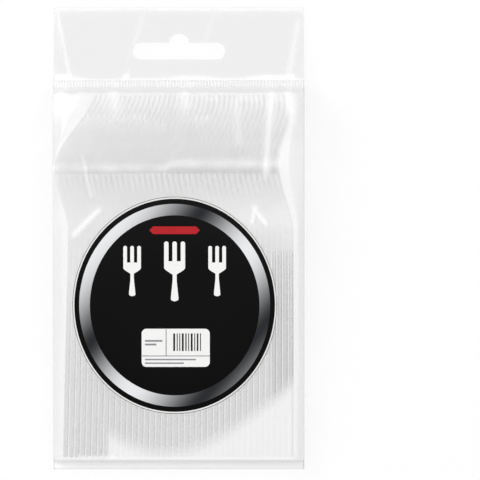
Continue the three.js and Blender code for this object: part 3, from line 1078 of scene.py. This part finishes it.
        # painted glints along the creases
        streaks = sum(streak.haze_highlight_or_rim * streak.closeness(x, y) for streak in self.streaks)
        white_sheen = self.clear_haze + mix(white_sheen, self.glare_haze, glare)
        return np.clip(white_sheen + ridge + tips + neck + glints + seams + streaks, 0.0, self.most_haze)

    def sections(self) -> tuple[Array, Array]:
        """Work out the pouch as one ring of points for each row of its profile.

        A ring runs along the front panel, which drops towards both edges with the power of one and a half
        of the way past the stack, down the right gusset, which folds in as half a sine, back along the
        rear panel, which lifts a third as far, and up the left gusset.

        Returns:
            The points as rows by columns by three, and the share of white of each, which on the front panel
            paints highlights and sheen.
        """
        front_y, front_z, back_y, back_z = (line[:, None] for line in self.profile())
        left, right = self.stack.reach(front_y)
        depth = front_z - back_z
        x = np.linspace(-self.half, self.half, self.front_columns)[None, :]
        inside = self.half - self.stack.film / 2.0

        def side(reach: Array) -> tuple[Array, Array, Array]:
            """Work out how the panels meet one gusset.

            Args:
                reach: How far the stack reaches to this side, row by row.

            Returns:
                Where the panels begin to drop, how far they drop and how far the gusset folds in.
            """
            room = inside - reach
            drop = np.minimum(np.minimum(self.edge_drop, room), depth / 3.0)
            fold = np.minimum(np.minimum(self.gusset_fold, room / 2.0), depth / 3.0)
            return reach + room / 3.0, drop, fold

        left_shoulder, left_drop, left_fold = side(left)
        right_shoulder, right_drop, right_fold = side(right)

        def past(places: Array) -> tuple[Array, Array]:
            """Tell how far places lie past the stack's shoulders.

            Args:
                places: Places across the pack.

            Returns:
                The curved share of the way to the bag's edge, and how far the panel drops there.
            """
            shoulder = np.where(places < 0.0, left_shoulder, right_shoulder)
            drop = np.where(places < 0.0, left_drop, right_drop)
            way = np.clip((np.abs(places) - shoulder) / (self.half - shoulder), 0.0, 1.0)
            return way**1.5, drop

        way, drop = past(x)
        relief = self.front_relief(x, front_y)
        run_y = np.gradient(front_y, axis=0)
        run_z = np.gradient(front_z, axis=0)
        run = np.hypot(run_y, run_z)
        edge_held = 1.0 - way
        front = np.stack(
            np.broadcast_arrays(
                x,
                front_y - relief * edge_held * run_z / run,
                front_z - drop * way + relief * edge_held * run_y / run,
            ),
            axis=-1,
        )
        rear_x = np.linspace(self.half, -self.half, self.back_columns)[None, :]
        rear_way, rear_drop = past(rear_x)
        sag = np.minimum(0.35 * (1.0 + self.waves(rear_x, back_y + 40.0)), depth / 8.0)
        rear_z = np.maximum(back_z + rear_drop / 3.0 * rear_way, self.table_gap)
        lifted = ease((back_y - 36.0) / 12.0)
        rear = np.stack(np.broadcast_arrays(rear_x, back_y, rear_z - sag * lifted), axis=-1)
        share = np.linspace(0.0, 1.0, self.side_columns + 2)[None, 1:-1]

        def gusset(fold: Array, drop_here: Array, turn: float) -> Array:
            """Work out one gusset from the front panel's edge to the rear panel's.

            Args:
                fold: How far it folds in, row by row.
                drop_here: How far the front panel drops at its edge, row by row.
                turn: 1 on the right and -1 on the left.

            Returns:
                The points as rows by columns by three.
            """
            y = mix(front_y, back_y, share)
            z = mix(front_z - drop_here, back_z + drop_here / 3.0, share)
            places = turn * (self.half - fold * np.sin(math.pi * share))
            return np.stack(np.broadcast_arrays(places, y, z), axis=-1)

        right_side = gusset(right_fold, right_drop, 1.0)
        left_side = gusset(left_fold, left_drop, -1.0)[:, ::-1]
        points = np.concatenate([front, right_side, rear, left_side], axis=1)
        haze_highlight_or_rim = np.full(points.shape[:2], self.clear_haze)
        haze_highlight_or_rim[:, : self.front_columns] = self.front_haze_and_highlights(x, front_y)
        return points, haze_highlight_or_rim

    def build_pouch(self, material: bpy.types.Material) -> None:
        """Make the pouch from its rings, shut both ends and punch the vent through the rear panel."""
        points, haze_highlight_or_rim = self.sections()
        rows, columns = haze_highlight_or_rim.shape
        faces = grid_faces(rows, columns, close_columns=True)[:, ::-1]
        first_side = self.front_columns
        last_side = self.front_columns + self.side_columns + self.back_columns
        numbers = np.arange(rows * columns).reshape(rows, columns)
        caps = []
        for row, turned in ((0, False), (rows - 1, True)):
            front = numbers[row, :first_side]
            rear = numbers[row, first_side + self.side_columns : last_side][::-1]
            near = np.round(np.linspace(0, len(rear) - 1, len(front))).astype(int)
            strip = np.stack([front[:-1], front[1:], rear[near[1:]], rear[near[:-1]]], axis=-1)
            caps.append(strip[:, ::-1] if turned else strip)
        points = points.reshape(-1, 3)
        vent = np.array([0.0, self.bottom + self.vent_from_bottom])
        away = np.hypot(points[:, 0] - vent[0], points[:, 1] - vent[1])
        low = points[:, 2] < self.rear_height
        radius = self.vent_diameter / 2.0
        rim = low & (np.abs(away - radius) < self.vent_snap)
        points[rim, :2] = vent + (points[rim, :2] - vent) * (radius / away[rim])[:, None]
        middles = points[faces].mean(axis=1)
        from_vent = np.hypot(middles[:, 0] - vent[0], middles[:, 1] - vent[1])
        open_air = (from_vent < radius) & (middles[:, 2] < self.rear_height)
        faces = np.concatenate([faces[~open_air], *caps])
        add_piece("film_pouch", points, faces, material, ["film_bag"], haze_highlight_or_rim.reshape(-1))

    def slot_outline(self) -> Array:
        """Give the slot's outline from its middle: a bar with round ends and a round hump on top.

        Returns:
            Points in order round the slot, counterclockwise.
        """
        round_end = self.slot_height / 2.0
        hump_y = round_end + self.hump_rise - self.hump_radius
        start = math.asin((round_end - hump_y) / self.hump_radius)
        right = np.linspace(-math.pi / 2.0, math.pi / 2.0, 24)
        hump = np.linspace(start, math.pi - start, 32)
        left = np.linspace(math.pi / 2.0, 1.5 * math.pi, 24)
        reach = self.slot_width / 2.0 - round_end
        arcs = (
            (reach, 0.0, round_end, right),
            (0.0, hump_y, self.hump_radius, hump),
            (-reach, 0.0, round_end, left),
        )
        corners = np.concatenate(
            [
                np.stack([x + size * np.cos(turn), y + size * np.sin(turn)], axis=-1)
                for x, y, size, turn in arcs
            ]
        )
        return self.dense(corners, 0.4)

    def sheet_outline(self) -> Array:
        """Give the header's rectangle from the slot's middle.

        Returns:
            Points in order from the lower right corner, counterclockwise.
        """
        middle = self.top - self.slot_from_top
        low, high = self.weld_top - middle, self.top - middle
        corners = np.array([[self.half, low], [self.half, high], [-self.half, high], [-self.half, low]])
        return self.dense(corners, 1.0)

    @staticmethod
    def dense(corners: Array, step: float) -> Array:
        """Fill a closed outline with points, keeping its corners.

        Args:
            corners: The outline's corners in order.
            step: About how far apart the points are.

        Returns:
            The points in order.
        """
        ends = np.roll(corners, -1, axis=0)
        counts = np.maximum(1, np.ceil(np.hypot(*(ends - corners).T) / step)).astype(int)
        which = np.repeat(np.arange(len(corners)), counts)
        share = np.concatenate([np.arange(count) / count for count in counts])[:, None]
        return mix(corners[which], ends[which], share)

    def build_header(self, material: bpy.types.Material) -> None:
        """Make the header: two layers that droop from the weld to the table, shut at all edges.

        Each point lies on a line from the slot's middle, at an even share of the way from the slot's edge
        to the sheet's edge. Its height eases from the weld's height down to the table.
        """
        slot, sheet = self.slot_outline(), self.sheet_outline()

        def polar(outline: Array) -> tuple[Array, Array]:
            """Turn an outline into angles and distances from the slot's middle.

            Args:
                outline: Points in order.

            Returns:
                The angles in rising order, and the distances.
            """
            angle = np.arctan2(outline[:, 1], outline[:, 0])
            order = np.argsort(angle)
            return angle[order], np.hypot(*outline[order].T)

        slot_angle, slot_reach = polar(slot)
        sheet_angle, sheet_reach = polar(sheet)
        angle = np.unique(np.round(np.concatenate([slot_angle, sheet_angle]), 4))
        inner = np.interp(angle, slot_angle, slot_reach, period=2.0 * math.pi)
        outer = np.interp(angle, sheet_angle, sheet_reach, period=2.0 * math.pi)
        share = np.linspace(0.0, 1.0, 60)[:, None]
        reach = mix(inner, outer, share)
        x = reach * np.cos(angle)
        y = self.top - self.slot_from_top + reach * np.sin(angle)
        droop = ease((y - self.weld_top) / self.header_height)
        middle = mix(self.header_lift, self.stack.film, droop)
        free = ease((y - self.weld_top) / 4.0) * (1.0 - droop**6)
        creases = sum(streak.height * streak.closeness(x, y) for streak in self.header_streaks)
        middle = middle + free * (0.3 * self.waves(0.5 * x, 0.5 * y) + creases)
        gap = 0.1
        front = np.stack([x, y, middle + gap], axis=-1)
        back = np.stack([x, y, np.maximum(middle - gap, self.table_gap)], axis=-1)
        points = np.concatenate([front, back[::-1]])
        # painted highlight lines along the header's creases, over a faint haze
        haze_highlight_or_rim = sum(streak.haze_highlight_or_rim * streak.closeness(x, y) for streak in self.header_streaks) + 0.01
        haze_highlight_or_rim = np.concatenate([haze_highlight_or_rim, np.full_like(haze_highlight_or_rim, 0.01)])
        faces = grid_faces(len(points), len(angle), close_rows=True, close_columns=True)[:, ::-1]
        add_piece(
            "film_header", points.reshape(-1, 3), faces, material, ["film_bag"], haze_highlight_or_rim.reshape(-1)
        )

    def build_weld(self, material: bpy.types.Material) -> None:
        """Make the knurled weld: a flat band whose ribs are rounded waves across it, of uneven strength.

        The ring round the band is half an ellipse on each side, and the ribs raise both faces.
        """
        columns = 900
        x = np.linspace(-self.half, self.half, columns)[:, None]
        turn = np.linspace(0.0, 2.0 * math.pi, 20, endpoint=False)[None, :]
        phase = 2.0 * math.pi * x / self.rib_pitch + 1.1 * np.sin(x / 4.7) + 0.8 * np.sin(x / 1.9)
        rib = (0.5 + 0.5 * np.cos(phase)) ** 2
        strength = 0.65 + 0.35 * np.sin(x / 6.1) * np.sin(x / 2.3 + 1.0)
        thick = 0.3 + self.rib_height * rib * strength
        squareness = 0.3
        aside, over = (np.sign(wave) * np.abs(wave) ** squareness for wave in (np.cos(turn), np.sin(turn)))
        y = (self.seam + self.weld_top) / 2.0 + self.weld_band / 2.0 * aside
        z = self.header_lift + thick * over
        points = np.stack(np.broadcast_arrays(x, y, z), axis=-1)
        # share of white: the weld's own whitening, with painted highlights on the ribs' crests
        haze_highlight_or_rim = np.broadcast_to(0.6 + 0.38 * rib * strength, points.shape[:2])
        faces = grid_faces(columns, turn.size, close_columns=True)
        add_piece(
            "weld_band", points.reshape(-1, 3), faces, material, ["film_bag"], haze_highlight_or_rim.reshape(-1)
        )

    def build(self) -> None:
        """Make the pouch, the header and the weld from one film."""
        material = self.finish.build()
        self.build_pouch(material)
        self.build_header(material)
        self.build_weld(material)


@dataclass
class Label:
    """The oval sticker: a black field, a silver ring, plain fork pictures and a white panel with bars."""

    bag: FilmBag
    width: float = 101.0
    height: float = 108.0
    thickness: float = 0.15
    print_step: float = 0.03
    black: PrintedInk = PrintedInk("black_ink_on_satin_paper", "#030303")
    cut_edge: PrintedInk = PrintedInk("bare_cut_paper_edge", "#e8e8e6")
    silver: PrintedInk = PrintedInk("silver_grey_ink_fade", "#26272a", "#e4e5e7", fade_angle=0.7)
    white: PrintedInk = PrintedInk("white_ink_on_satin_paper", "#f3f3f2")
    grey: PrintedInk = PrintedInk("grey_ink_on_satin_paper", "#8d9093")
    red: PrintedInk = PrintedInk("red_ink_on_satin_paper", "#b4262b")

    def __post_init__(self) -> None:
        """Take the label's place from the frame and its slope from the bag."""
        low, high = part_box("front_label")
        middle = (np.array(low) + np.array(high)) / 2.0 / MILLIMETRE
        self.place_x = float(middle[0])
        self.place_y = float(middle[1])
        self.slope = self.bag.stack.front_slope

    def on_pack(self, across: Array, along: Array, height: Array) -> Array:
        """Lay places on the label's plane into the pack.

        Args:
            across: Places to the right of the label's middle.
            along: Places up from the label's middle.
            height: Heights over the film.

        Returns:
            The points, one row of three each.
        """
        across, along, height = np.broadcast_arrays(across, along, height)
        foot = self.bag.stack.front_plane(self.place_y, self.bag.stand_off + 0.03)
        x = self.place_x + across
        y = self.place_y + along * math.cos(self.slope) - height * math.sin(self.slope)
        z = foot + along * math.sin(self.slope) + height * math.cos(self.slope)
        return np.stack([x, y, z], axis=-1)

    def add_print(
        self, name: str, across: Array, along: Array, layer: int, ink: bpy.types.Material
    ) -> None:
        """Put a grid of places on the label's face as a print, a step higher for each layer.

        Args:
            name: The print's name.
            across: Places to the right of the label's middle.
            along: Places up from the label's middle.
            layer: How many prints lie under it, and itself.
            ink: Its finish.
        """
        height = self.thickness + layer * self.print_step
        points = self.on_pack(across, along, np.full_like(across, height))
        faces = grid_faces(*across.shape)
        add_piece(name, points.reshape(-1, 3), faces, ink, ["front_label"])

    def build_field(self) -> None:
        """Make the sticker's body: rings of an ellipse up its cut edge and in over its face."""
        turn = np.linspace(0.0, 2.0 * math.pi, 180, endpoint=False)[None, :]
        scale = np.array([0.0, 0.5, 1.0, 1.0, 0.998, 0.5, 0.0])[:, None]
        height = np.array([0.0, 0.0, 0.0, 0.8, 1.0, 1.0, 1.0])[:, None] * self.thickness
        across = scale * self.width / 2.0 * np.cos(turn)
        along = scale * self.height / 2.0 * np.sin(turn)
        points = self.on_pack(across, along, height)
        faces = grid_faces(len(scale), turn.size, close_columns=True)
        ink = self.black.build()
        add_piece("label_field", points.reshape(-1, 3), faces, ink, ["front_label"])

    def ring(self, inner: float, outer: float) -> tuple[Array, Array]:
        """Give the places of an oval ring between two shares of the label's size."""
        turn = np.linspace(0.0, 2.0 * math.pi, 181)[None, :]
        scale = np.linspace(outer, inner, 4)[:, None]
        return scale * self.width / 2.0 * np.cos(turn), scale * self.height / 2.0 * np.sin(turn)

    def rounded_panel(self, width: float, height: float, round_end: float) -> tuple[Array, Array]:
        """Give a panel with round corners, as rows whose ends follow quarter circles.

        Args:
            width: Its width.
            height: Its height.
            round_end: Its corners' radius.

        Returns:
            The places across and along.
        """
        turn = np.linspace(0.0, math.pi / 2.0, 9)
        lift = round_end * (1.0 - np.cos(turn))
        half = width / 2.0 - round_end * (1.0 - np.sin(turn))
        along = np.concatenate([-height / 2.0 + lift, height / 2.0 - lift[::-1]])[:, None]
        reach = np.concatenate([half, half[::-1]])[:, None]
        across = reach * np.linspace(-1.0, 1.0, 5)[None, :]
        return across, np.broadcast_to(along, across.shape)

    def build_pictures(self, ink: bpy.types.Material) -> None:
        """Make three plain fork pictures: a handle that swells into a head, and three round bars.

        Args:
            ink: Their finish.
        """
        for number, (centre, size) in enumerate(((-21.0, 0.84), (0.0, 1.0), (21.0, 0.84)), 1):
            share = np.linspace(0.0, 1.0, 40)[:, None]
            handle = 1.9 - 0.9 * ease(share / 0.6)
            head = 5.2 * ease((share - 0.6) / 0.24)
            close = np.sqrt(np.clip(1.0 - np.clip((0.06 - share) / 0.06, 0.0, 1.0) ** 2, 0.0, 1.0))
            half = np.maximum(handle, head) * np.maximum(close, 0.02)
            across = size * half * np.linspace(-1.0, 1.0, 5)[None, :] + centre
            along = np.broadcast_to(size * (-16.0 + 20.0 * share) + 18.0, across.shape)
            self.add_print(f"fork_picture_{number}", across, along, 2, ink)
            for tine in (-1, 0, 1):
                bar_across, bar_along = self.rounded_panel(2.2 * size, 12.5 * size, 1.05 * size)
                self.add_print(
                    f"fork_picture_{number}_tine_{tine + 2}",
                    bar_across + centre + 4.1 * size * tine,
                    bar_along + 18.0 + size * 7.6,
                    3,
                    ink,
                )

    def build_accent(self, ink: bpy.types.Material) -> None:
        """Make a plain red bar with pointed ends over the fork pictures."""
        width, height, middle_y = 25.0, 3.8, 37.4
        along = middle_y + height * np.array([-0.5, 0.0, 0.5])[:, None]
        half = width / 2.0 - np.array([height / 2.0, 0.0, height / 2.0])[:, None]
        across = half * np.linspace(-1.0, 1.0, 5)[None, :]
        self.add_print("red_bar", across, np.broadcast_to(along, across.shape), 2, ink)

    def build_panel(
        self, white: bpy.types.Material, grey: bpy.types.Material, black: bpy.types.Material
    ) -> None:
        """Make the white panel with plain bars of unlike widths, short rules and two dividers.

        Args:
            white: The panel's finish.
            grey: The rules' finish.
            black: The bars' and dividers' finish.
        """
        width, height, middle_x, middle_y = 33.7, 19.0, 0.5, -21.1
        across, along = self.rounded_panel(width, height, 2.4)
        self.add_print("code_panel", across + middle_x, along + middle_y, 2, white)
        bars = np.array([0.9, 0.45, 0.45, 0.9, 0.6, 0.45, 0.9, 0.45, 0.75, 0.45])
        starts = middle_x - 1.2 + np.cumsum(np.concatenate([[0.0], bars[:-1] + 0.82]))
        for number, (start, bar) in enumerate(zip(starts, bars), 1):
            across, along = np.meshgrid([start, start + bar], [middle_y - 1.6, middle_y + 7.2])
            self.add_print(f"code_bar_{number}", across, along, 3, black)
        rules = (
            ("upright_divider", middle_x - 4.9, middle_x - 4.6, middle_y - 4.0, middle_y + 9.3, black),
            ("level_divider", middle_x - 16.7, middle_x + 16.7, middle_y - 4.2, middle_y - 3.9, black),
            ("rule_1", middle_x - 15.2, middle_x - 6.6, middle_y + 3.0, middle_y + 3.9, grey),
            ("rule_2", middle_x - 15.2, middle_x - 9.6, middle_y + 1.2, middle_y + 2.1, grey),
            ("rule_3", middle_x - 15.2, middle_x + 10.0, middle_y - 6.2, middle_y - 5.5, grey),
            ("rule_4", middle_x - 15.2, middle_x + 4.0, middle_y - 8.0, middle_y - 7.3, grey),
        )
        for name, left, right, low, high, ink in rules:
            across, along = np.meshgrid([left, right], [low, high])
            self.add_print(name, across, along, 3, ink)

    def build(self) -> None:
        """Make the sticker and its prints."""
        white, grey, black = self.white.build(), self.grey.build(), self.black.build()
        self.build_field()
        self.add_print("paper_border", *self.ring(0.982, 0.996), 1, self.cut_edge.build())
        self.add_print("silver_ring", *self.ring(0.83, 0.935), 1, self.silver.build())
        self.build_accent(self.red.build())
        self.build_pictures(white)
        self.build_panel(white, grey, black)


@dataclass
class Studio:
    """A white floor, soft overhead light and a camera that looks straight down."""

    view_width: float = 238.0
    view_x: float = 30.3
    view_y: float = -0.84
    camera_height: float = 4000.0
    view_level: float = 10.0
    sensor: float = 36.0
    floor_half: float = 6.0
    floor_colour: str = "#fafafa"
    floor_glow: float = 0.8
    ambient: float = 0.62

    def build_floor(self) -> None:
        """Lay a white floor that keeps the pack's shadow and looks white to the eye, gloss and glass."""
        material, tree = new_material("white_studio_sweep")
        path = add_node(tree, "ShaderNodeLightPath")
        seen = add_node(
            tree,
            "ShaderNodeMath",
            {"operation": "MAXIMUM"},
            {0: path.outputs["Is Camera Ray"], 1: path.outputs["Is Glossy Ray"]},
        )
        shown = add_node(
            tree,
            "ShaderNodeMath",
            {"operation": "MAXIMUM"},
            {0: seen.outputs[0], 1: path.outputs["Is Transmission Ray"]},
        )
        share = add_node(
            tree,
            "ShaderNodeMath",
            {"operation": "MULTIPLY"},
            {0: shown.outputs[0], 1: self.floor_glow},
        )
        matt = add_node(tree, "ShaderNodeBsdfDiffuse", inputs={"Color": linear_colour(self.floor_colour)})
        glow = add_node(tree, "ShaderNodeEmission", inputs={"Strength": 1.0})
        paper = add_node(
            tree,
            "ShaderNodeMixShader",
            inputs={0: share.outputs[0], 1: matt.outputs[0], 2: glow.outputs[0]},
        )
        add_node(tree, "ShaderNodeOutputMaterial", inputs={"Surface": paper.outputs[0]})
        x, y = np.meshgrid([-self.floor_half, self.floor_half], [-self.floor_half, self.floor_half])
        points = np.stack([x, y, np.zeros_like(x)], axis=-1).reshape(-1, 3)
        mesh = bpy.data.meshes.new("studio_floor")
        mesh.from_pydata(points.tolist(), [], grid_faces(2, 2).tolist())
        mesh.materials.append(material)
        floor = bpy.data.objects.new("studio_floor", mesh)
        bpy.context.scene.collection.objects.link(floor)

    def build_world(self) -> None:
        """Light the scene evenly, with white where the eye, gloss or glass meets the surroundings."""
        world = bpy.data.worlds.new("white_room")
        world.use_nodes = True
        tree = world.node_tree
        tree.nodes.clear()
        path = add_node(tree, "ShaderNodeLightPath")
        seen = add_node(
            tree,
            "ShaderNodeMath",
            {"operation": "MAXIMUM"},
            {0: path.outputs["Is Camera Ray"], 1: path.outputs["Is Glossy Ray"]},
        )
        shown = add_node(
            tree,
            "ShaderNodeMath",
            {"operation": "MAXIMUM"},
            {0: seen.outputs[0], 1: path.outputs["Is Transmission Ray"]},
        )
        strength = add_node(
            tree,
            "ShaderNodeMapRange",
            inputs={"Value": shown.outputs[0], "To Min": self.ambient, "To Max": 1.0},
        )
        sky = add_node(
            tree,
            "ShaderNodeBackground",
            inputs={"Color": (1.0, 1.0, 1.0, 1.0), "Strength": strength.outputs[0]},
        )
        add_node(tree, "ShaderNodeOutputWorld", inputs={"Surface": sky.outputs[0]})
        bpy.context.scene.world = world

    def add_lamp(
        self, name: str, place: tuple[float, float, float], size: tuple[float, float], watts: float
    ) -> None:
        """Hang a soft rectangular lamp that faces the pack.

        Args:
            name: The lamp's name.
            place: Where it hangs, in metres.
            size: Its width and length, in metres.
            watts: Its power.
        """
        data = bpy.data.lights.new(name, "AREA")
        data.shape = "RECTANGLE"
        data.size, data.size_y = size
        data.energy = watts
        lamp = bpy.data.objects.new(name, data)
        lamp.location = place
        aim = -lamp.location
        lamp.rotation_euler = aim.to_track_quat("-Z", "Y").to_euler()
        bpy.context.scene.collection.objects.link(lamp)
        log.info("%s at %s", name, place)

    def build_camera(self) -> None:
        """Set the camera over the pack: its lens is the sensor times the distance over the view's width."""
        data = bpy.data.cameras.new("overhead_camera")
        data.sensor_width = self.sensor
        data.lens = self.sensor * (self.camera_height - self.view_level) / self.view_width
        data.clip_end = 50.0
        camera = bpy.data.objects.new("overhead_camera", data)
        camera.location = (
            self.view_x * MILLIMETRE,
            self.view_y * MILLIMETRE,
            self.camera_height * MILLIMETRE,
        )
        bpy.context.scene.collection.objects.link(camera)
        bpy.context.scene.camera = camera

    def build(self) -> None:
        """Make the floor, the world, the lamps and the camera."""
        self.build_floor()
        self.build_world()
        self.add_lamp("overhead_softbox", (0.0, 0.05, 1.4), (1.2, 0.5), 6.0)
        self.add_lamp("left_softbox", (-0.75, 0.5, 0.95), (0.5, 0.5), 4.5)
        self.build_camera()
        scene = bpy.context.scene
        scene.view_settings.view_transform = "Standard"
        scene.cycles.transparent_max_bounces = 64


def main() -> None:
    logging.basicConfig(level=logging.INFO, format="%(name)s: %(message)s")
    stack = ForkStack()
    bag = FilmBag(stack)
    label = Label(bag)
    stack.build()
    bag.build()
    label.build()
    Studio().build()


if __name__ == "__main__":
    main()
